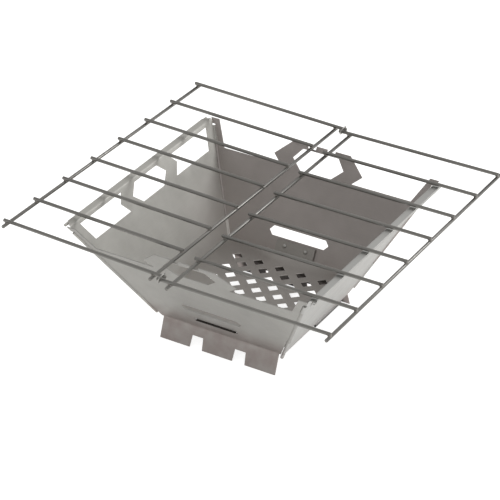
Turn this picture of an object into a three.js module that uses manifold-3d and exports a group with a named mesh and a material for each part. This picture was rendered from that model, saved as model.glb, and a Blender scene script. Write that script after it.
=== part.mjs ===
import * as THREE from "three";
import { mergeVertices } from "three/addons/utils/BufferGeometryUtils.js";
import Module from "manifold-3d";

// Folding fire pit with a two-part cooking grate. Millimetres, +Z up, feet on z = 0, front towards -Y.
// The pit is four leaning sheet walls on slanted corner hinges; front and back walls carry the feet.

// ---- pit body ----
const SHEET = 1.5;
const FOOT_HEIGHT = 32.3;
const WALL_HEIGHT = 174.6;
const TOP_HALF = 202;
const FRONT_BASE_HALF = 104;
const SIDE_BASE_HALF = 108.8;
const BASE_Z = FOOT_HEIGHT;
const RIM_Z = 176.9;
const END_RIM_Z = RIM_Z - 0.4;
const EDGE_INSET = 3.7;

// ---- corner hinges ----
const TUBE_R = 2.7;
const BORE_R = 1.6;
const PIN_R = 1.25;
const KNUCKLE_GAP = 0.4;
const KNUCKLE_RISE = 2.4;
const KNUCKLE_TOP = 166;
const SEAM_HIGH = 145;
const SEAM_LOW = 46;
const KNUCKLE_END_LONG = -9;
const KNUCKLE_END_SHORT = 6;

// ---- front and back walls ----
const LOW_EDGE_Z = 139.7;
const RING_HALF_TOP = 50.7;
const RING_HALF_MID = 79.5;
const RING_HALF_BASE = 64;
const RING_MID_Z = 152.3;
const NOTCH_INNER = 9.8;
const NOTCH_OUTER = 24.2;
const NOTCH_Z = 171.1;
const POST_HALF_TOP = 189.9;
const POST_HALF_LOW = 168.1;
const HOLE_HALF_TOP = 32;
const HOLE_HALF_MID = 45.5;
const HOLE_HALF_LOW = 27.5;
const HOLE_TOP_Z = 168.3;
const HOLE_MID_Z = 153.2;
const HOLE_LOW_Z = 138.2;
const HANDLE_HALF = 53.2;
const HANDLE_FLAT_HALF = 46.8;
const HANDLE_Z = 49.3;
const HANDLE_HALF_HEIGHT = 6.6;
const FOOT_HALF = 102;
const FOOT_FLARE = 12;
const FOOT_NOTCH_X = 37.7;
const FOOT_NOTCH_TOP = 19;
const FOOT_NOTCH_BASE = 22.4;
const FOOT_NOTCH_HEIGHT = 18.3;
const CAP_Z = 168.4;
const CAP_REACH = 2;
const TAB_SLOT_HALF = 37;
const TAB_SLOT_Z = 22.6;
const TAB_SLOT_HEIGHT = 4.4;

// ---- side walls ----
const FLANGE_WIDTH = 12;
const FLANGE_RADIUS = 2.4;
const FLANGE_MITRE = 10;
const FLANGE_ROLL_R = 2.3;
const FLANGE_ROLL_BORE_R = 0.9;
const CUT_TOP_Z = 170.4;
const CUT_LOW_Z = 140.2;
const CUT_RING_Z = 156.6;
const CUT_OUTER_TOP = 177.5;
const CUT_OUTER_LOW = 160.4;
const SIDE_RING_TOP = 66.7;
const SIDE_RING_MID = 78.5;
const SIDE_RING_LOW = 64.5;
const SIDE_HOLE_TOP = 31.2;
const SIDE_HOLE_MID = 47.4;
const SIDE_HOLE_LOW = 29.3;
const SIDE_HOLE_MID_Z = 155.7;
const FOOT_ROLL_START = -8;
const FOOT_ROLL_END = 70;

// ---- floor plate ----
const FLOOR_Z = 22.5;
const FLOOR_SHEET = 1.5;
const FLOOR_GAP = 2.2;
const FLOOR_CORNER = 4;
const FLOOR_TAB_HALF = 34.6;
const FLOOR_TAB_REACH = 3.2;
const FLOOR_TAB_RISE = 19;
const HOLE_PITCH_X = 38.4;
const HOLE_PITCH_Y = 36;
const HOLE_DIAGONAL_X = 20.4;
const HOLE_DIAGONAL_Y = 19.2;
const HOLE_ROWS = 4;
const STUD_X = 18.8;
const STUD_RISE = 11.5;
const STUD_HEAD_R = 3.4;
const STUD_HEAD_HEIGHT = 1.9;
const STUD_SHANK_R = 1.5;

// ---- grate ----
const ROD_R = 2.7;
const ROD_GAP = 0.3;
const ROD_COUNT = 8;
const HALF_SPAN_X = 260.3;
const HALF_SPAN_Y = 522;
const LEFT_INNER_X = -17.8;
const RIGHT_INNER_X = 14.2;
const LEFT_Y = 9.1;
const RIGHT_Y = 0;
const LEFT_TILT = THREE.MathUtils.degToRad(1.4);
const LEFT_SKEW = THREE.MathUtils.degToRad(-0.7);
const RIGHT_TILT = THREE.MathUtils.degToRad(-0.3);
const RIGHT_SKEW = THREE.MathUtils.degToRad(-0.3);
const FOLD_X = -1.2;
const FOLD_Y = 4.55;
const LONG_ROD_Z = BASE_Z + RIM_Z + ROD_GAP + ROD_R;
const CROSS_ROD_Z = LONG_ROD_Z - 2 * ROD_R - ROD_GAP;
const CROSS_OVERHANG = 10;
const STUB = 5;
const FLUSH = 2.4;
const LEFT_TIPS = [4.2, 4.2];
const RIGHT_TIPS = [6, 2.4];
const LINK_WIRE_R = 0.9;
const LINK_HALF_HEIGHT = 6.2;
const LINK_HALF_LENGTH = 8.6;
const LINK_LEAN = THREE.MathUtils.degToRad(20);

const wasm = await Module();
wasm.setup();

function toManifold(geometry) {
  const bare = geometry.clone();
  for (const name of ["normal", "uv"]) {
    if (bare.getAttribute(name)) bare.deleteAttribute(name);
  }
  const welded = mergeVertices(bare, 1e-4);
  const mesh = new wasm.Mesh({
    numProp: 3,
    vertProperties: new Float32Array(welded.getAttribute("position").array),
    triVerts: new Uint32Array(welded.getIndex().array),
  });
  mesh.merge();
  return new wasm.Manifold(mesh);
}

function toGeometry(solid) {
  const mesh = solid.getMesh();
  const geometry = new THREE.BufferGeometry();
  geometry.setAttribute("position", new THREE.BufferAttribute(new Float32Array(mesh.vertProperties), 3));
  geometry.setIndex(new THREE.BufferAttribute(new Uint32Array(mesh.triVerts), 1));
  geometry.computeVertexNormals();
  return geometry;
}

const steel = {
  wall: new THREE.MeshStandardMaterial({ color: 0xb3b1ac, roughness: 0.42, metalness: 0.9 }),
  floor: new THREE.MeshStandardMaterial({ color: 0x8f8a86, roughness: 0.5, metalness: 0.9 }),
  rod: new THREE.MeshStandardMaterial({ color: 0x9a9893, roughness: 0.35, metalness: 0.95 }),
  pin: new THREE.MeshStandardMaterial({ color: 0xa8a8a6, roughness: 0.3, metalness: 0.95 }),
};

const fireplace = new THREE.Group();
fireplace.name = "fire_pit_with_grate";

function addPiece(name, geometry, material) {
  const mesh = new THREE.Mesh(geometry, material);
  mesh.name = name;
  fireplace.add(mesh);
}

function shapeOf(points) {
  return new THREE.Shape(points.map(([x, y]) => new THREE.Vector2(x, y)));
}

function slab(outline, thickness) {
  const geometry = new THREE.ExtrudeGeometry(shapeOf(outline), { depth: thickness, bevelEnabled: false });
  return toManifold(geometry.translate(0, 0, -thickness / 2));
}

// A flat outline with holes, thickened evenly about its own plane.
function plate(outline, holes, thickness) {
  let solid = slab(outline, thickness);
  for (const hole of holes) solid = solid.subtract(slab(hole, thickness + 2));
  return toGeometry(solid);
}

// A closed outline in the (across, up) plane of a wall, run along the wall from start to end.
function runAlong(points, start, end) {
  const geometry = new THREE.ExtrudeGeometry(shapeOf(points), { depth: end - start, bevelEnabled: false });
  geometry.translate(0, 0, start);
  const basis = new THREE.Matrix4().makeBasis(
    new THREE.Vector3(0, 1, 0),
    new THREE.Vector3(0, 0, 1),
    new THREE.Vector3(1, 0, 0),
  );
  return geometry.applyMatrix4(basis);
}

function tubeBetween(from, to, radius, segments = 24) {
  const span = new THREE.Vector3().subVectors(to, from);
  const geometry = new THREE.CylinderGeometry(radius, radius, span.length(), segments);
  geometry.translate(0, span.length() / 2, 0);
  const turn = new THREE.Quaternion().setFromUnitVectors(new THREE.Vector3(0, 1, 0), span.clone().normalize());
  geometry.applyQuaternion(turn);
  return geometry.translate(from.x, from.y, from.z);
}

// A bent strip of sheet: the centre line is offset to both sides by half the thickness.
function stripOutline(line, thickness) {
  const sides = [[], []];
  line.forEach((point, i) => {
    const before = line[Math.max(i - 1, 0)];
    const after = line[Math.min(i + 1, line.length - 1)];
    const inward = new THREE.Vector2(point[0] - before[0], point[1] - before[1]).normalize();
    const outward = new THREE.Vector2(after[0] - point[0], after[1] - point[1]).normalize();
    if (i === 0) inward.copy(outward);
    if (i === line.length - 1) outward.copy(inward);
    const along = inward.clone().add(outward).normalize();
    const reach = thickness / 2 / Math.max(along.dot(inward), 0.5);
    sides[0].push([point[0] - along.y * reach, point[1] + along.x * reach]);
    sides[1].push([point[0] + along.y * reach, point[1] - along.x * reach]);
  });
  return sides[0].concat(sides[1].reverse());
}

function leanOf(baseHalf) {
  return (TOP_HALF - baseHalf) / WALL_HEIGHT;
}

function halfAt(baseHalf, height) {
  return baseHalf + leanOf(baseHalf) * height;
}

// Every wall is shaped as if it were the front one, then turned to its own side.
// Wall plane coordinates are (along, height above the base).
function leanPlate(geometry, baseHalf) {
  const lean = leanOf(baseHalf);
  const angle = Math.atan(lean);
  const basis = new THREE.Matrix4().makeBasis(
    new THREE.Vector3(1, 0, 0),
    new THREE.Vector3(0, -lean, 1),
    new THREE.Vector3(0, -Math.cos(angle), -Math.sin(angle)),
  );
  basis.setPosition(0, -baseHalf, BASE_Z);
  return geometry.applyMatrix4(basis);
}

function cornerPoint(baseHalf, alongBaseHalf, side, height) {
  return new THREE.Vector3(
    side * halfAt(alongBaseHalf, height),
    -halfAt(baseHalf, height),
    BASE_Z + height,
  );
}

// Heights along one slanted corner where this wall owns the rolled knuckle.
function ownStretches(isSide, longEnd) {
  if (!isSide) return [[SEAM_LOW, SEAM_HIGH]];
  const end = longEnd ? KNUCKLE_END_LONG : KNUCKLE_END_SHORT;
  return [[end, SEAM_LOW], [SEAM_HIGH, KNUCKLE_TOP]];
}

// The slanted side edge of a wall: it steps in where the neighbour owns the knuckle.
function steppedEdge(alongBaseHalf, stretches, topZ) {
  const points = [];
  const step = (height, inset) => points.push([halfAt(alongBaseHalf, height) - inset, height]);
  let reached = 0;
  for (const [start, end] of stretches) {
    const low = Math.max(start + KNUCKLE_RISE, 0);
    if (low > reached) {
      step(reached, EDGE_INSET);
      step(low, EDGE_INSET);
    }
    step(low, BORE_R);
    step(end - KNUCKLE_GAP, BORE_R);
    reached = end - KNUCKLE_GAP;
  }
  step(reached, EDGE_INSET);
  step(topZ, EDGE_INSET);
  return points;
}

function mirrored(points) {
  return points.map(([x, y]) => [-x, y]).reverse();
}

function addKnuckles(solid, baseHalf, alongBaseHalf, side, stretches) {
  let whole = solid;
  for (const [start, end] of stretches) {
    const from = cornerPoint(baseHalf, alongBaseHalf, side, start + KNUCKLE_GAP / 2);
    const to = cornerPoint(baseHalf, alongBaseHalf, side, end - KNUCKLE_GAP / 2);
    whole = whole.add(toManifold(tubeBetween(from, to, TUBE_R)));
  }
  const low = cornerPoint(baseHalf, alongBaseHalf, side, -20);
  const high = cornerPoint(baseHalf, alongBaseHalf, side, KNUCKLE_TOP + 1);
  return whole.subtract(toManifold(tubeBetween(low, high, BORE_R)));
}

function hexagon(top, mid, low, topZ, midZ, lowZ) {
  return [[-low, lowZ], [low, lowZ], [mid, midZ], [top, topZ], [-top, topZ], [-mid, midZ]];
}

// Front and back walls: hexagon ring, two posts, handle slot, and a row of three feet.
function endWall(turn, withTabSlot) {
  const stretches = ownStretches(false, false);
  const rightEdge = steppedEdge(SIDE_BASE_HALF, stretches, CAP_Z);
  // Above the hinge the sheet steps out again and covers the end of the side wall's knuckle.
  for (const height of [CAP_Z, END_RIM_Z]) rightEdge.push([halfAt(SIDE_BASE_HALF, height) + CAP_REACH, height]);
  const topRun = [
    [POST_HALF_TOP, END_RIM_Z],
    [POST_HALF_LOW, LOW_EDGE_Z],
    [RING_HALF_BASE, LOW_EDGE_Z],
    [RING_HALF_MID, RING_MID_Z],
    [RING_HALF_TOP, END_RIM_Z],
    [NOTCH_OUTER, END_RIM_Z],
    [NOTCH_OUTER, NOTCH_Z],
    [NOTCH_INNER, NOTCH_Z],
    [NOTCH_INNER, END_RIM_Z],
  ];
  const rightSide = rightEdge.concat(topRun);
  const outline = rightSide.concat(mirrored(rightSide));
  const holes = [
    hexagon(HOLE_HALF_TOP, HOLE_HALF_MID, HOLE_HALF_LOW, HOLE_TOP_Z, HOLE_MID_Z, HOLE_LOW_Z),
    hexagon(
      HANDLE_FLAT_HALF, HANDLE_HALF, HANDLE_FLAT_HALF,
      HANDLE_Z + HANDLE_HALF_HEIGHT, HANDLE_Z, HANDLE_Z - HANDLE_HALF_HEIGHT,
    ),
  ];
  if (withTabSlot) {
    const low = TAB_SLOT_Z - TAB_SLOT_HEIGHT / 2;
    const high = TAB_SLOT_Z + TAB_SLOT_HEIGHT / 2;
    holes.push([[-TAB_SLOT_HALF, low], [TAB_SLOT_HALF, low], [TAB_SLOT_HALF, high], [-TAB_SLOT_HALF, high]]);
  }
  let solid = toManifold(leanPlate(plate(outline, holes, SHEET), FRONT_BASE_HALF));

  // The foot strip flares out from the base line; the bend is part of the same sheet.
  const lean = leanOf(FRONT_BASE_HALF);
  const flare = FOOT_FLARE / FOOT_HEIGHT;
  const bendLine = [
    [-FRONT_BASE_HALF - FOOT_FLARE - flare * 5, -5],
    [-FRONT_BASE_HALF - flare * 1.6, BASE_Z - 1.6],
    [-FRONT_BASE_HALF - 0.3, BASE_Z],
    [-FRONT_BASE_HALF - lean * 4, BASE_Z + 4],
  ];
  const strip = runAlong(stripOutline(bendLine, SHEET), -FOOT_HALF, FOOT_HALF);
  const ground = new THREE.BoxGeometry(FOOT_HALF * 3, FRONT_BASE_HALF * 4, 20).translate(0, 0, -10);
  let foot = toManifold(strip).subtract(toManifold(ground));
  // The notches start below the ground, so that no skin is left across them.
  for (const side of [-1, 1]) {
    const notch = new THREE.ExtrudeGeometry(shapeOf([
      [side * FOOT_NOTCH_X - FOOT_NOTCH_BASE / 2, -1],
      [side * FOOT_NOTCH_X + FOOT_NOTCH_BASE / 2, -1],
      [side * FOOT_NOTCH_X + FOOT_NOTCH_TOP / 2, FOOT_NOTCH_HEIGHT],
      [side * FOOT_NOTCH_X - FOOT_NOTCH_TOP / 2, FOOT_NOTCH_HEIGHT],
    ]), { depth: 40, bevelEnabled: false });
    notch.rotateX(Math.PI / 2).translate(0, -FRONT_BASE_HALF + 10, 0);
    foot = foot.subtract(toManifold(notch));
  }
  solid = solid.add(foot);
  for (const side of [-1, 1]) {
    solid = addKnuckles(solid, FRONT_BASE_HALF, SIDE_BASE_HALF, side, stretches);
  }
  return toGeometry(solid).rotateZ(turn);
}

// Side walls: two shaped cut-outs beside a hexagon hole, under a full-length outward flange.
function sideWall(turn) {
  const rightStretches = ownStretches(true, false);
  const leftStretches = ownStretches(true, true);
  const bendZ = RIM_Z - 3;
  const right = steppedEdge(FRONT_BASE_HALF, rightStretches, bendZ);
  const left = mirrored(steppedEdge(FRONT_BASE_HALF, leftStretches, bendZ));
  const cutOut = [
    [SIDE_RING_LOW, CUT_LOW_Z],
    [CUT_OUTER_LOW, CUT_LOW_Z],
    [CUT_OUTER_TOP, CUT_TOP_Z],
    [SIDE_RING_TOP, CUT_TOP_Z],
    [SIDE_RING_MID, CUT_RING_Z],
  ];
  const holes = [
    hexagon(SIDE_HOLE_TOP, SIDE_HOLE_MID, SIDE_HOLE_LOW, CUT_TOP_Z, SIDE_HOLE_MID_Z, CUT_LOW_Z),
    cutOut,
    mirrored(cutOut),
  ];
  let solid = toManifold(leanPlate(plate(right.concat(left), holes, SHEET), SIDE_BASE_HALF));

  // The flange bends from the leaning sheet to level and runs outwards.
  const lean = Math.atan(leanOf(SIDE_BASE_HALF));
  const flangeLine = [];
  const levelZ = BASE_Z + RIM_Z - SHEET / 2;
  const bendStart = levelZ - BASE_Z - FLANGE_RADIUS * (1 - Math.sin(lean));
  const centre = [
    -halfAt(SIDE_BASE_HALF, bendStart) - FLANGE_RADIUS * Math.cos(lean),
    levelZ - FLANGE_RADIUS,
  ];
  flangeLine.push([-halfAt(SIDE_BASE_HALF, bendZ - 2), BASE_Z + bendZ - 2]);
  const bendSteps = 5;
  for (let i = 0; i <= bendSteps; i += 1) {
    const angle = lean + (i / bendSteps) * (Math.PI / 2 - lean);
    flangeLine.push([
      centre[0] + FLANGE_RADIUS * Math.cos(angle),
      centre[1] + FLANGE_RADIUS * Math.sin(angle),
    ]);
  }
  flangeLine.push([-TOP_HALF - FLANGE_WIDTH, levelZ]);
  const reach = halfAt(FRONT_BASE_HALF, bendZ) - EDGE_INSET;
  let flange = toManifold(runAlong(stripOutline(flangeLine, SHEET), -reach, reach));
  for (const side of [-1, 1]) {
    const mitre = shapeOf([
      [side * (reach - FLANGE_MITRE), -TOP_HALF - FLANGE_WIDTH - 0.5],
      [side * (reach + 5), -TOP_HALF - FLANGE_WIDTH - 0.5],
      [side * (reach + 5), -TOP_HALF + 3],
    ]);
    const cutter = new THREE.ExtrudeGeometry(mitre, { depth: 60, bevelEnabled: false });
    cutter.translate(0, 0, BASE_Z + RIM_Z - 40);
    flange = flange.subtract(toManifold(cutter));
  }
  solid = solid.add(flange);

  // The flange's outer edge is rolled under.
  const edgeY = -TOP_HALF - FLANGE_WIDTH + FLANGE_ROLL_R - 0.35;
  const edgeZ = BASE_Z + RIM_Z - FLANGE_ROLL_R - 0.3;
  const rollEnd = (x) => new THREE.Vector3(x, edgeY, edgeZ);
  solid = solid.add(toManifold(tubeBetween(rollEnd(-reach), rollEnd(reach), FLANGE_ROLL_R, 20)));
  const bore = tubeBetween(rollEnd(-reach - 5), rollEnd(reach + 5), FLANGE_ROLL_BORE_R, 16);
  solid = solid.subtract(toManifold(bore));

  // Rolled edge along part of the foot of the wall.
  const rollZ = BASE_Z - TUBE_R + 0.6;
  const rollFrom = new THREE.Vector3(FOOT_ROLL_START, -SIDE_BASE_HALF, rollZ);
  const rollTo = new THREE.Vector3(FOOT_ROLL_END, -SIDE_BASE_HALF, rollZ);
  solid = solid.add(toManifold(tubeBetween(rollFrom, rollTo, TUBE_R)));
  const boreFrom = rollFrom.clone().setX(FOOT_ROLL_START - 5);
  const boreTo = rollTo.clone().setX(FOOT_ROLL_END + 5);
  solid = solid.subtract(toManifold(tubeBetween(boreFrom, boreTo, BORE_R)));

  solid = addKnuckles(solid, SIDE_BASE_HALF, FRONT_BASE_HALF, 1, rightStretches);
  solid = addKnuckles(solid, SIDE_BASE_HALF, FRONT_BASE_HALF, -1, leftStretches);
  return toGeometry(solid).rotateZ(turn);
}

addPiece("wall_front", endWall(0, true), steel.wall);
addPiece("wall_back", endWall(Math.PI, false), steel.wall);
addPiece("wall_right", sideWall(Math.PI / 2), steel.wall);
addPiece("wall_left", sideWall(-Math.PI / 2), steel.wall);

// ---- hinge pins, one in each slanted corner ----
const corners = [
  ["front_left", -1, 1, false],
  ["front_right", 1, 1, true],
  ["back_right", 1, -1, false],
  ["back_left", -1, -1, true],
];
for (const [name, sideX, sideY, longEnd] of corners) {
  const end = longEnd ? KNUCKLE_END_LONG : KNUCKLE_END_SHORT;
  const place = (height) => {
    const point = cornerPoint(FRONT_BASE_HALF, SIDE_BASE_HALF, sideX, height);
    return point.setY(point.y * sideY);
  };
  addPiece(`hinge_pin_${name}`, tubeBetween(place(end + 0.5), place(KNUCKLE_TOP - 0.5), PIN_R, 16), steel.pin);
}

// ---- floor plate: lozenge holes in staggered rows, a front tab and an upturned back tab ----
function floorPlate() {
  const halfX = halfAt(SIDE_BASE_HALF, FLOOR_Z) - FLOOR_GAP;
  const halfY = halfAt(FRONT_BASE_HALF, FLOOR_Z) - FLOOR_GAP;
  const frontEdge = -halfY;
  const tabFront = -halfAt(FRONT_BASE_HALF, FLOOR_Z) - FLOOR_TAB_REACH;
  const outline = [
    [-halfX + FLOOR_CORNER, halfY],
    [-halfX, halfY - FLOOR_CORNER],
    [-halfX, frontEdge + FLOOR_CORNER],
    [-halfX + FLOOR_CORNER, frontEdge],
    [-FLOOR_TAB_HALF, frontEdge],
    [-FLOOR_TAB_HALF, tabFront],
    [FLOOR_TAB_HALF, tabFront],
    [FLOOR_TAB_HALF, frontEdge],
    [halfX - FLOOR_CORNER, frontEdge],
    [halfX, frontEdge + FLOOR_CORNER],
    [halfX, halfY - FLOOR_CORNER],
    [halfX - FLOOR_CORNER, halfY],
  ];
  const holes = [];
  for (let row = -HOLE_ROWS; row <= HOLE_ROWS; row += 1) {
    const even = row % 2 === 0;
    const count = even ? 5 : 4;
    for (let i = 0; i < count; i += 1) {
      const x = (i - (count - 1) / 2) * HOLE_PITCH_X;
      const y = (row * HOLE_PITCH_Y) / 2;
      holes.push([
        [x - HOLE_DIAGONAL_X / 2, y],
        [x, y - HOLE_DIAGONAL_Y / 2],
        [x + HOLE_DIAGONAL_X / 2, y],
        [x, y + HOLE_DIAGONAL_Y / 2],
      ]);
    }
  }
  const flat = plate(outline, holes, FLOOR_SHEET).translate(0, 0, BASE_Z + FLOOR_Z);
  const lean = leanOf(FRONT_BASE_HALF);
  const bendStart = halfY - 1.2;
  const tabLine = [
    [halfY - 4, BASE_Z + FLOOR_Z],
    [bendStart - 0.6, BASE_Z + FLOOR_Z],
    [bendStart + 0.3, BASE_Z + FLOOR_Z + 0.5],
    [bendStart + 0.8, BASE_Z + FLOOR_Z + 1.6],
    [bendStart + 0.8 + lean * (FLOOR_TAB_RISE - 1.6), BASE_Z + FLOOR_Z + FLOOR_TAB_RISE],
  ];
  const tab = runAlong(stripOutline(tabLine, FLOOR_SHEET), -FLOOR_TAB_HALF, FLOOR_TAB_HALF);
  let solid = toManifold(flat).add(toManifold(tab));
  for (const side of [-1, 1]) {
    const axis = studAxis(side);
    solid = solid.subtract(toManifold(tubeBetween(axis.behind, axis.ahead, STUD_SHANK_R + ROD_GAP, 20)));
  }
  return toGeometry(solid);
}

// The centre of a stud on the leaning back tab, with one point on each side of the tab.
function studAxis(side) {
  const lean = leanOf(FRONT_BASE_HALF);
  const angle = Math.atan(lean);
  const halfY = halfAt(FRONT_BASE_HALF, FLOOR_Z) - FLOOR_GAP;
  const normal = new THREE.Vector3(0, -Math.cos(angle), Math.sin(angle));
  const middle = new THREE.Vector3(
    side * STUD_X,
    halfY - 0.4 + lean * (STUD_RISE - 1.6),
    BASE_Z + FLOOR_Z + STUD_RISE,
  );
  return {
    middle,
    normal,
    behind: middle.clone().addScaledVector(normal, -8),
    ahead: middle.clone().addScaledVector(normal, 8),
  };
}

function stud(side) {
  const { middle, normal } = studAxis(side);
  const face = FLOOR_SHEET / 2 + ROD_GAP;
  const profile = [new THREE.Vector2(0, -face - 0.1), new THREE.Vector2(STUD_SHANK_R, -face - 0.1)];
  profile.push(new THREE.Vector2(STUD_SHANK_R, face));
  const domeSteps = 6;
  for (let i = 0; i <= domeSteps; i += 1) {
    const angle = (i / domeSteps) * (Math.PI / 2);
    const radius = i === domeSteps ? 0 : STUD_HEAD_R * Math.cos(angle);
    profile.push(new THREE.Vector2(radius, face + STUD_HEAD_HEIGHT * Math.sin(angle)));
  }
  const geometry = new THREE.LatheGeometry(profile, 24);
  geometry.applyQuaternion(new THREE.Quaternion().setFromUnitVectors(new THREE.Vector3(0, 1, 0), normal));
  geometry.translate(middle.x, middle.y, middle.z);
  return toGeometry(toManifold(geometry));
}

addPiece("floor_plate", floorPlate(), steel.floor);
addPiece("floor_stud_left", stud(-1), steel.pin);
addPiece("floor_stud_right", stud(1), steel.pin);

// ---- grate rods: round bar with a small chamfer at each cut end ----
function rod(length) {
  const bevel = 0.5;
  const profile = [
    new THREE.Vector2(0, 0),
    new THREE.Vector2(ROD_R - bevel, 0),
    new THREE.Vector2(ROD_R, bevel),
    new THREE.Vector2(ROD_R, length - bevel),
    new THREE.Vector2(ROD_R - bevel, length),
    new THREE.Vector2(0, length),
  ];
  return toGeometry(toManifold(new THREE.LatheGeometry(profile, 20)));
}

function longRod(startX, endX, y) {
  return rod(endX - startX).rotateZ(-Math.PI / 2).translate(startX, y, LONG_ROD_Z);
}

function crossRod(startY, endY, x) {
  return rod(endY - startY).translate(x, startY, CROSS_ROD_Z);
}

// A half lies a little tipped and skewed about the line where the two halves meet.
function layOnFold(geometry, tilt, skew) {
  geometry.translate(-FOLD_X, -FOLD_Y, -LONG_ROD_Z);
  return geometry.rotateY(tilt).rotateZ(skew).translate(FOLD_X, FOLD_Y, LONG_ROD_Z);
}

function grateHalf(half) {
  const { name, outerX, innerX, centreY, tips, tilt, skew } = half;
  const isLeft = outerX < innerX;
  const leftX = Math.min(outerX, innerX);
  const rightX = Math.max(outerX, innerX);
  const firstY = centreY - HALF_SPAN_Y / 2;
  const pitch = HALF_SPAN_Y / (ROD_COUNT - 1);
  const addRod = (suffix, geometry) => {
    addPiece(`grate_${name}_${suffix}`, layOnFold(geometry, tilt, skew), steel.rod);
  };
  for (let i = 0; i < ROD_COUNT; i += 1) {
    let start = leftX - STUB;
    let end = rightX + FLUSH;
    const tip = { 0: tips[0], [ROD_COUNT - 1]: tips[1] }[i];
    if (tip && isLeft) end = FOLD_X + tip;
    if (tip && !isLeft) start = FOLD_X - tip;
    addRod(`rod_${i + 1}`, longRod(start, end, firstY + i * pitch));
  }
  const start = firstY - CROSS_OVERHANG;
  const end = firstY + HALF_SPAN_Y + CROSS_OVERHANG;
  addRod("cross_outer", crossRod(start, end, outerX));
  addRod("cross_inner", crossRod(start, end, innerX));
}

grateHalf({
  name: "left",
  outerX: LEFT_INNER_X - HALF_SPAN_X,
  innerX: LEFT_INNER_X,
  centreY: LEFT_Y,
  tips: LEFT_TIPS,
  tilt: LEFT_TILT,
  skew: LEFT_SKEW,
});
grateHalf({
  name: "right",
  outerX: RIGHT_INNER_X + HALF_SPAN_X,
  innerX: RIGHT_INNER_X,
  centreY: RIGHT_Y,
  tips: RIGHT_TIPS,
  tilt: RIGHT_TILT,
  skew: RIGHT_SKEW,
});

// ---- wire links round the overlapping ends of the first and last long rods ----
// They stand on the fold line, which is skewed with the left half.
function link(y) {
  const straight = LINK_HALF_LENGTH - LINK_HALF_HEIGHT;
  const points = [];
  const arcSteps = 10;
  for (const side of [1, -1]) {
    for (let i = 0; i <= arcSteps; i += 1) {
      const angle = side * (Math.PI / 2) - (i / arcSteps) * Math.PI;
      points.push(new THREE.Vector3(
        0,
        side * straight + LINK_HALF_HEIGHT * Math.cos(angle),
        LINK_HALF_HEIGHT * Math.sin(angle),
      ));
    }
  }
  // The curve is a closed loop, so the tube has no ends.
  const loop = new THREE.CatmullRomCurve3(points, true);
  const geometry = new THREE.TubeGeometry(loop, 44, LINK_WIRE_R, 12, true);
  const leaning = toGeometry(toManifold(geometry)).rotateY(LINK_LEAN).translate(FOLD_X, y, LONG_ROD_Z);
  return layOnFold(leaning, 0, LEFT_SKEW);
}

addPiece("grate_link_front", link(FOLD_Y - HALF_SPAN_Y / 2), steel.pin);
addPiece("grate_link_back", link(FOLD_Y + HALF_SPAN_Y / 2), steel.pin);

// The grate lies off centre on the pit. The whole is centred over the origin, so the pit stands beside it.
const middle = new THREE.Box3().setFromObject(fireplace).getCenter(new THREE.Vector3());
for (const piece of fireplace.children) piece.geometry.translate(-middle.x, -middle.y, 0);

export default fireplace;
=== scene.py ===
"""Looks for the folding fire pit: brushed steel, weld beads on the grate, and a soft white studio."""

import math

import bmesh
import bpy
import numpy as np
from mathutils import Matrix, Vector, noise


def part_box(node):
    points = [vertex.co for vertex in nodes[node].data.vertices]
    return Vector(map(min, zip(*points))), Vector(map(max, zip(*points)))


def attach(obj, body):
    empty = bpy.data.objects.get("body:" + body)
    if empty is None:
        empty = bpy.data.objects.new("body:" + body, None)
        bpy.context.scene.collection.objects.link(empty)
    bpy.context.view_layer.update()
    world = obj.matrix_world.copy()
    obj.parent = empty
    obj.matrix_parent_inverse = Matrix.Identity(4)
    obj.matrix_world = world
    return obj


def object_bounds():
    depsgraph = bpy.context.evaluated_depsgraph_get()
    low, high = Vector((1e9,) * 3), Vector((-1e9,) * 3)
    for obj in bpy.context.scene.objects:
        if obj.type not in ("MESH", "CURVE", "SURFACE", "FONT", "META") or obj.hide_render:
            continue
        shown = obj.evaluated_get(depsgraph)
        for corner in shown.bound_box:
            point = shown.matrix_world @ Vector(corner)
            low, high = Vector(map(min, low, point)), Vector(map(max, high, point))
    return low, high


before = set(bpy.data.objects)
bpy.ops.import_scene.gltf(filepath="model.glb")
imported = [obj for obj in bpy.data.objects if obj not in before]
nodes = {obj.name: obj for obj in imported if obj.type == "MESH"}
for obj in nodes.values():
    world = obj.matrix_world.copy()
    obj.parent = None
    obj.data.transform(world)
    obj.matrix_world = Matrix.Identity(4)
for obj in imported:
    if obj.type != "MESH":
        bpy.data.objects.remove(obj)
cad_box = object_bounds()

MM = 0.001
front_low, front_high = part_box("wall_front")
back_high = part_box("wall_back")[1]
pit_centre = Vector(((front_low.x + front_high.x) / 2, (front_low.y + back_high.y) / 2, 0))

# ---- camera ----
CAMERA_FROM_PIT = Vector((1.5154, -2.5463, 1.9195))
# How far round to the right of the front the camera looks from, and how far down, in radians.
AZIMUTH = 0.54003049
ELEVATION = 0.54403624
backwards = Vector((
    math.sin(AZIMUTH) * math.cos(ELEVATION),
    -math.cos(AZIMUTH) * math.cos(ELEVATION),
    math.sin(ELEVATION),
))
camera_data = bpy.data.cameras.new("camera")
camera_data.sensor_width = 36.0
camera_data.lens = 163.64
camera_data.clip_end = 50.0
camera = bpy.data.objects.new("camera", camera_data)
camera.location = pit_centre + CAMERA_FROM_PIT
camera.rotation_euler = backwards.to_track_quat("Z", "Y").to_euler()
bpy.context.scene.collection.objects.link(camera)
bpy.context.scene.camera = camera
bpy.context.scene.view_settings.view_transform = "Standard"

# ---- node trees ----
# The mix node has sockets for each kind of value. These are the ones that mix two colours.
MIX_FACTOR = 0
MIX_FIRST = 6
MIX_SECOND = 7
MIX_RESULT = 2


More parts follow.
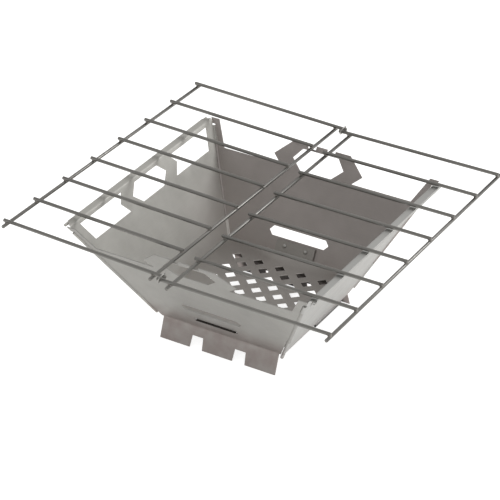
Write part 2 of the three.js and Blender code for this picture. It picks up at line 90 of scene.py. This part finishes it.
class Tree:
    """Short calls for building one node tree. A value is a number, a tuple or another node's socket."""

    def __init__(self, tree):
        self.tree = tree

    def add(self, kind, inputs=None, **settings):
        node = self.tree.nodes.new(kind)
        for name, value in settings.items():
            setattr(node, name, value)
        for name, value in (inputs or {}).items():
            self.put(value, node.inputs[name])
        return node

    def put(self, value, socket):
        if isinstance(value, bpy.types.NodeSocket):
            self.tree.links.new(value, socket)
        else:
            socket.default_value = value

    def math(self, operation, *values):
        node = self.add("ShaderNodeMath", operation=operation)
        for value, socket in zip(values, node.inputs):
            self.put(value, socket)
        return node.outputs[0]

    def distance(self, a, b):
        return self.math("ABSOLUTE", self.math("SUBTRACT", a, b))

    def dot(self, a, b):
        node = self.add("ShaderNodeVectorMath", operation="DOT_PRODUCT")
        self.put(a, node.inputs[0])
        self.put(b, node.inputs[1])
        return node.outputs["Value"]

    def split(self, vector):
        """A vector's X, Y and Z, by name."""
        return self.add("ShaderNodeSeparateXYZ", inputs={"Vector": vector}).outputs

    def ramp(self, value, low, high, to_low=0.0, to_high=1.0):
        """value from low to high becomes to_low to to_high, eased at both ends."""
        inputs = {"Value": value, "From Min": low, "From Max": high, "To Min": to_low, "To Max": to_high}
        return self.add("ShaderNodeMapRange", inputs, interpolation_type="SMOOTHSTEP").outputs["Result"]

    def noise(self, vector, scale, detail=3.0, roughness=0.55):
        inputs = {"Vector": vector, "Scale": scale, "Detail": detail, "Roughness": roughness}
        return self.add("ShaderNodeTexNoise", inputs).outputs["Fac"]

    def mix(self, factor, first, second):
        """The first colour where factor is 0 and the second where it is 1."""
        node = self.add("ShaderNodeMix", data_type="RGBA", blend_type="MIX")
        self.put(factor, node.inputs[MIX_FACTOR])
        self.put(first, node.inputs[MIX_FIRST])
        self.put(second, node.inputs[MIX_SECOND])
        return node.outputs[MIX_RESULT]


# ---- steel ----
# Noise cells in a metre.
CLOUDS = 11.0
SMUDGES = 55.0
# Painted shade that darkens and warms the steel low on each piece: what is left of red, green and blue, and
# the heights it fades between.
LOW_SHADE_TINT = (0.74, 0.64, 0.64)
LOW_SHADE_FULL = 26.0 * MM
LOW_SHADE_GONE = 80.0 * MM
# Worn edges: how wide they are, how strongly they show, and how much brighter and smoother they are.
WEAR_WIDTH = 0.5 * MM
WEAR = 0.5
WEAR_BRIGHTNESS = 1.45
WEAR_SMOOTHNESS = 0.12


def shade(colour, amount):
    return tuple(part * amount for part in colour) + (1.0,)


def steel(name, colour, roughness, grain, low_shade=0.0, grain_depth=0.05, patches=()):
    """Brushed steel.

    grain is the number of noise cells in a metre along x, y and z, so it is low along the brush lines.
    low_shade is the strength of the painted shade low on the piece, and grain_depth is in millimetres.
    Each patch is a function of tree and place that says where its colour takes over, and that colour.
    """
    material = bpy.data.materials.new(name)
    material.use_nodes = True
    tree = Tree(material.node_tree)
    shader = material.node_tree.nodes["Principled BSDF"]
    place = tree.add("ShaderNodeTexCoord").outputs["Object"]
    stretched = tree.add("ShaderNodeMapping", {"Vector": place, "Scale": grain}).outputs["Vector"]
    lines = tree.noise(stretched, 1.0, detail=4.0, roughness=0.65)
    clouds = tree.noise(place, CLOUDS)
    smudges = tree.noise(place, SMUDGES, detail=4.0)

    tone = tree.mix(tree.ramp(clouds, 0.3, 0.7), shade(colour, 0.95), shade(colour, 1.05))
    tone = tree.mix(tree.math("MULTIPLY", lines, 0.35), tone, shade(colour, 0.78))
    # Painted shade: the steel is darker and warmer low on the piece.
    if low_shade:
        shaded_low = tuple(part * tint for part, tint in zip(colour, LOW_SHADE_TINT)) + (1.0,)
        low = tree.ramp(tree.split(place)["Z"], LOW_SHADE_FULL, LOW_SHADE_GONE, low_shade, 0.0)
        blotch = tree.ramp(smudges, 0.25, 0.75, 0.5, 1.0)
        tone = tree.mix(tree.math("MULTIPLY", low, blotch), tone, shaded_low)

    # At an edge, the normal of a rounded surface leaves the flat one. The limits are cosines.
    rounded = tree.add("ShaderNodeBevel", {"Radius": WEAR_WIDTH}, samples=4).outputs["Normal"]
    flat = tree.add("ShaderNodeNewGeometry").outputs["Normal"]
    edge = tree.ramp(tree.dot(rounded, flat), 0.985, 0.86, 0.0, WEAR)
    tone = tree.mix(edge, tone, shade(colour, WEAR_BRIGHTNESS))
    for where, patch_colour in patches:
        tone = tree.mix(where(tree, place), tone, patch_colour)
    tree.put(tone, shader.inputs["Base Color"])

    rough = tree.ramp(smudges, 0.2, 0.8, roughness - 0.05, roughness + 0.07)
    rough = tree.math("ADD", rough, tree.ramp(lines, 0.2, 0.8, -0.03, 0.03))
    rough = tree.math("SUBTRACT", rough, tree.math("MULTIPLY", edge, WEAR_SMOOTHNESS))
    tree.put(rough, shader.inputs["Roughness"])
    bump = tree.add("ShaderNodeBump", {"Strength": 0.35, "Distance": grain_depth * MM, "Height": lines})
    tree.put(bump.outputs["Normal"], shader.inputs["Normal"])
    shader.inputs["Metallic"].default_value = 1.0
    return material


# ---- patches of another colour: painted shade and painted light ----
SHADE_BLACK = (0.035, 0.030, 0.027, 1.0)
FOOT_SHADE_GREY = (0.17, 0.165, 0.16, 1.0)
CORNER_LIGHT_PALE = (0.80, 0.78, 0.75, 1.0)

# The tab at the floor plate's front stands in the front wall's slot, at the plate's lowest height.
tab_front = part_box("floor_plate")[0].y
tab_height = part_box("floor_plate")[0].z
TAB_END_LENGTH = 3.0 * MM
SLOT_HALF_HEIGHT = 3.5 * MM
# Only the front wall has the slot, which lies in front of this y.
BEHIND_FRONT_WALL = -0.10
# The foot strips have painted shade in their middle, as far to each side of it as this.
STRIP_HALF_WIDTH = 86.0 * MM

# Painted light: the left wall is paler low in its back corner. The numbers: how far behind the middle, and
# the heights it fades between.
CORNER_BEHIND = 120.0 * MM
CORNER_FULL = 90.0 * MM
CORNER_GONE = 165.0 * MM

# The side walls' rolled feet are as high as this, and lie between the knuckles at their ends. Painted shade
# makes them dark grey.
ROLL_TOP = 33.0 * MM
ROLL_HALF_LENGTH = 85.0 * MM


# Painted shade: the tab's front end is nearly black, as shade inside the front wall's slot.
def tab_end_shade(tree, place):
    along = tree.split(place)["Y"]
    return tree.ramp(along, tab_front + TAB_END_LENGTH, tab_front + TAB_END_LENGTH + 1.5 * MM, 1.0, 0.0)


def slot_and_strip_shade(tree, place):
    """Painted shade, nearly black: the reveal of the tab slot, and the inner sides of the foot strips below
    the floor plate.
    """
    spot = tree.split(place)
    facing = tree.split(tree.add("ShaderNodeNewGeometry").outputs["Normal"])

    level = tree.ramp(tree.math("ABSOLUTE", facing["Z"]), 0.65, 0.75)
    from_slot = tree.distance(spot["Z"], tab_height)
    near_slot = tree.ramp(from_slot, SLOT_HALF_HEIGHT, SLOT_HALF_HEIGHT + 1.0 * MM, 1.0, 0.0)
    in_front = tree.ramp(spot["Y"], BEHIND_FRONT_WALL, BEHIND_FRONT_WALL - 10.0 * MM)
    slot = tree.math("MULTIPLY", tree.math("MULTIPLY", level, near_slot), in_front)

    outward = tree.math("MULTIPLY", facing["Y"], tree.math("SIGN", spot["Y"]))
    inward = tree.ramp(outward, -0.2, -0.5)
    below = tree.ramp(spot["Z"], tab_height - 1.0 * MM, tab_height - 5.0 * MM)
    across = tree.distance(spot["X"], pit_centre.x)
    middle = tree.ramp(across, STRIP_HALF_WIDTH, STRIP_HALF_WIDTH + 10.0 * MM, 0.9, 0.0)
    strip = tree.math("MULTIPLY", tree.math("MULTIPLY", inward, below), middle)
    return tree.math("MAXIMUM", slot, strip)


# Painted light: where the left wall's colour turns pale.
def low_back_corner_light(tree, place):
    spot = tree.split(place)
    rear = tree.ramp(spot["Y"], pit_centre.y, pit_centre.y + CORNER_BEHIND)
    low = tree.ramp(spot["Z"], CORNER_GONE, CORNER_FULL)
    return tree.math("MULTIPLY", rear, low)


# Painted shade: the rolled feet down by the floor are coloured dark grey.
def rolled_foot_shade(tree, place):
    spot = tree.split(place)
    along = tree.distance(spot["Y"], pit_centre.y)
    between_knuckles = tree.ramp(along, ROLL_HALF_LENGTH + 10.0 * MM, ROLL_HALF_LENGTH)
    low = tree.ramp(spot["Z"], ROLL_TOP, ROLL_TOP - 0.6 * MM)
    return tree.math("MULTIPLY", between_knuckles, low)


# ---- the pieces' materials ----
STEEL = (0.50, 0.495, 0.475)
BACK_STEEL = (0.50, 0.462, 0.445)
LEFT_STEEL = (0.64, 0.632, 0.60)
RIGHT_STEEL = (0.58, 0.58, 0.565)
FLOOR_STEEL = (0.44, 0.42, 0.40)
ROD_STEEL = (0.28, 0.274, 0.26)
WELD_STEEL = (0.36, 0.34, 0.32)
SHEET_ALONG_X = (14.0, 1500.0, 1500.0)
SHEET_ALONG_Y = (1500.0, 14.0, 1500.0)
ROD_ALONG_X = (30.0, 2600.0, 2600.0)
ROD_ALONG_Y = (2600.0, 30.0, 2600.0)
PIN_GRAIN = (900.0, 900.0, 60.0)
LINK_GRAIN = (900.0, 300.0, 900.0)
WELD_GRAIN = (500.0, 500.0, 500.0)

# Painted shade in the tab slot and under the floor plate.
SLOT_AND_STRIP_SHADE = (slot_and_strip_shade, SHADE_BLACK)
TAB_END_SHADE = (tab_end_shade, SHADE_BLACK)
LOW_BACK_CORNER_LIGHT = (low_back_corner_light, CORNER_LIGHT_PALE)
ROLLED_FOOT_SHADE = (rolled_foot_shade, FOOT_SHADE_GREY)

sheet_steel = {
    "wall_front": steel(
        "wall_steel_front", STEEL, roughness=0.46, grain=SHEET_ALONG_X,
        low_shade=0.9, patches=(SLOT_AND_STRIP_SHADE,),
    ),
    "wall_back": steel(
        "wall_steel_back", BACK_STEEL, roughness=0.46, grain=SHEET_ALONG_X,
        low_shade=0.4, patches=(SLOT_AND_STRIP_SHADE,),
    ),
    "wall_right": steel(
        "wall_steel_right", RIGHT_STEEL, roughness=0.36, grain=SHEET_ALONG_Y,
        low_shade=0.5, grain_depth=0.12, patches=(ROLLED_FOOT_SHADE,),
    ),
    "wall_left": steel(
        "wall_steel_left", LEFT_STEEL, roughness=0.62, grain=SHEET_ALONG_Y,
        low_shade=0.9, patches=(LOW_BACK_CORNER_LIGHT, ROLLED_FOOT_SHADE),
    ),
    "floor_plate": steel(
        "floor_steel", FLOOR_STEEL, roughness=0.44, grain=SHEET_ALONG_X,
        patches=(TAB_END_SHADE,),
    ),
}
rod_x = steel("rod_steel_x", ROD_STEEL, roughness=0.33, grain=ROD_ALONG_X, grain_depth=0.03)
rod_y = steel("rod_steel_y", ROD_STEEL, roughness=0.33, grain=ROD_ALONG_Y, grain_depth=0.03)
pin_steel = steel("pin_steel", STEEL, roughness=0.28, grain=PIN_GRAIN, grain_depth=0.03)
link_wire = steel("link_wire", STEEL, roughness=0.24, grain=LINK_GRAIN, grain_depth=0.02)
weld_steel = steel("weld_steel", WELD_STEEL, roughness=0.42, grain=WELD_GRAIN, grain_depth=0.1)


def material_of(name):
    if name in sheet_steel:
        return sheet_steel[name]
    if "_link_" in name:
        return link_wire
    if "_cross_" in name:
        return rod_y
    if "_rod_" in name:
        return rod_x
    return pin_steel


# ---- the CAD solids stay, with softened edges and smooth round surfaces ----
SHEET_BEVEL = 0.2 * MM


def smooth(piece):
    mesh = piece.data
    for name in ("custom_normal", "sharp_edge"):
        if name in mesh.attributes:
            mesh.attributes.remove(mesh.attributes[name])
    mesh.polygons.foreach_set("use_smooth", [True] * len(mesh.polygons))
    weld = piece.modifiers.new("weld", "WELD")
    weld.merge_threshold = 0.002 * MM


def soften_edges(piece):
    faces = piece.modifiers.new("faces", "DECIMATE")
    faces.decimate_type = "DISSOLVE"
    faces.angle_limit = math.radians(0.5)
    edges = piece.modifiers.new("edges", "BEVEL")
    edges.width = SHEET_BEVEL
    edges.segments = 2
    edges.limit_method = "ANGLE"
    edges.angle_limit = math.radians(38)
    edges.harden_normals = True


for name, piece in nodes.items():
    piece.data.materials.clear()
    piece.data.materials.append(material_of(name))
    smooth(piece)
    if name in sheet_steel:
        soften_edges(piece)

# ---- weld beads where the long rods lie on the cross rods ----
LONG_RODS = 8
BEAD_RADIUS = 3.1 * MM
BEAD_HALF_HEIGHT = 1.9 * MM
# Each bead's outline swells and shrinks by up to this much, with its own seed.
BEAD_RIPPLE = 0.12
RIPPLE_SCALE = 1.7


def rod_line(name):
    """The centre and the direction of a rod, from its own mesh."""
    points = np.array([vertex.co for vertex in nodes[name].data.vertices], float)
    middle = (points.min(0) + points.max(0)) / 2
    points = points - points.mean(0)
    direction = np.linalg.svd(points, full_matrices=False)[2][0]
    return Vector(middle), Vector(direction).normalized()


def nearest_points(first, second):
    """The points where two lines pass closest to each other."""
    (p, d), (q, e) = first, second
    across = p - q
    along = d.dot(e)
    spread = 1 - along * along
    s = (along * e.dot(across) - d.dot(across)) / spread
    t = (e.dot(across) - along * d.dot(across)) / spread
    return p + d * s, q + e * t


def add_bead(mesh, place, seed):
    ball = bmesh.ops.create_icosphere(mesh, subdivisions=3, radius=1.0)
    for vertex in ball["verts"]:
        ripple = 1 + BEAD_RIPPLE * noise.noise(vertex.co * RIPPLE_SCALE + Vector((seed, 0, 0)))
        vertex.co = place + Vector((
            vertex.co.x * BEAD_RADIUS * ripple,
            vertex.co.y * BEAD_RADIUS * ripple,
            vertex.co.z * BEAD_HALF_HEIGHT,
        ))
        # No bead reaches past the CAD box along x.
        vertex.co.x = max(cad_box[0][0], min(cad_box[1][0], vertex.co.x))


for side in ("left", "right"):
    mesh = bmesh.new()
    crosses = [rod_line(f"grate_{side}_cross_{which}") for which in ("outer", "inner")]
    for i in range(1, LONG_RODS + 1):
        long_rod = rod_line(f"grate_{side}_rod_{i}")
        for j, cross in enumerate(crosses):
            above, below = nearest_points(long_rod, cross)
            add_bead(mesh, (above + below) / 2, seed=3.1 * i + 17.3 * j)
    data = bpy.data.meshes.new(f"weld_beads_{side}")
    mesh.to_mesh(data)
    mesh.free()
    data.polygons.foreach_set("use_smooth", [True] * len(data.polygons))
    data.materials.append(weld_steel)
    beads = bpy.data.objects.new(f"weld_beads_{side}", data)
    bpy.context.scene.collection.objects.link(beads)
    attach(beads, f"grate_{side}")

# ---- studio: the sky, a key lamp and the floor ----
# The sky is a little brighter behind the pit than in front of it.
FRONT_GLOW = 0.52
BACK_GLOW = 0.58
SKY_TINT = (1.0, 0.99, 0.975, 1)
# Soft panels of light in the sky: direction, cosine of the edge, brightness.
PANELS = (
    ((0.44, 0.734, 0.518), 0.95, 0.42),
    ((-0.35, 0.45, 0.82), 0.90, 0.3),
)
world = bpy.data.worlds.new("studio")
bpy.context.scene.world = world
world.use_nodes = True
sky = Tree(world.node_tree)
direction = sky.add("ShaderNodeTexCoord").outputs["Generated"]
backward = sky.dot(direction, (0.15, 1.0, 0.0))
glow = sky.ramp(backward, -0.9, 0.75, FRONT_GLOW, BACK_GLOW)
for towards, edge, brightness in PANELS:
    unit = Vector(towards).normalized()
    panel = sky.ramp(sky.dot(direction, tuple(unit)), edge, 1.0, 0.0, brightness)
    glow = sky.math("ADD", glow, panel)
background = world.node_tree.nodes["Background"]
sky.put(glow, background.inputs["Strength"])
sky.put(SKY_TINT, background.inputs["Color"])

KEY_PLACE = Vector((1.9, 2.3, 2.0))
key_data = bpy.data.lights.new("key", "AREA")
key_data.shape = "DISK"
key_data.size = 1.4
key_data.energy = 24.0
key = bpy.data.objects.new("key", key_data)
key.location = KEY_PLACE
key.rotation_euler = (KEY_PLACE - pit_centre).to_track_quat("Z", "Y").to_euler()
bpy.context.scene.collection.objects.link(key)

FLOOR_REACH = 9.0


def floor_plane(name, height, colour, glow):
    mesh = bpy.data.meshes.new(name)
    signs = ((-1, -1), (1, -1), (1, 1), (-1, 1))
    corners = [(x * FLOOR_REACH, y * FLOOR_REACH, height) for x, y in signs]
    mesh.from_pydata(corners, [], [(0, 1, 2, 3)])
    plane = bpy.data.objects.new(name, mesh)
    bpy.context.scene.collection.objects.link(plane)
    material = bpy.data.materials.new(name)
    material.use_nodes = True
    shader = material.node_tree.nodes["Principled BSDF"]
    shader.inputs["Base Color"].default_value = colour
    shader.inputs["Roughness"].default_value = 0.9
    shader.inputs["Emission Color"].default_value = (1, 1, 1, 1)
    shader.inputs["Emission Strength"].default_value = glow
    mesh.materials.append(material)
    return plane


# The camera sees a floor that glows almost white. The steel is lit by the other one, a pale card
# that glows less and lies just below, where the camera doesn't see it.
seen_floor = floor_plane("floor", height=0.0, colour=(0.8, 0.8, 0.8, 1), glow=0.8)
seen_floor.visible_glossy = False
seen_floor.visible_diffuse = False
seen_floor.visible_shadow = False
card_floor = floor_plane("card_floor", height=-0.2 * MM, colour=(0.82, 0.81, 0.79, 1), glow=0.36)
card_floor.visible_camera = False
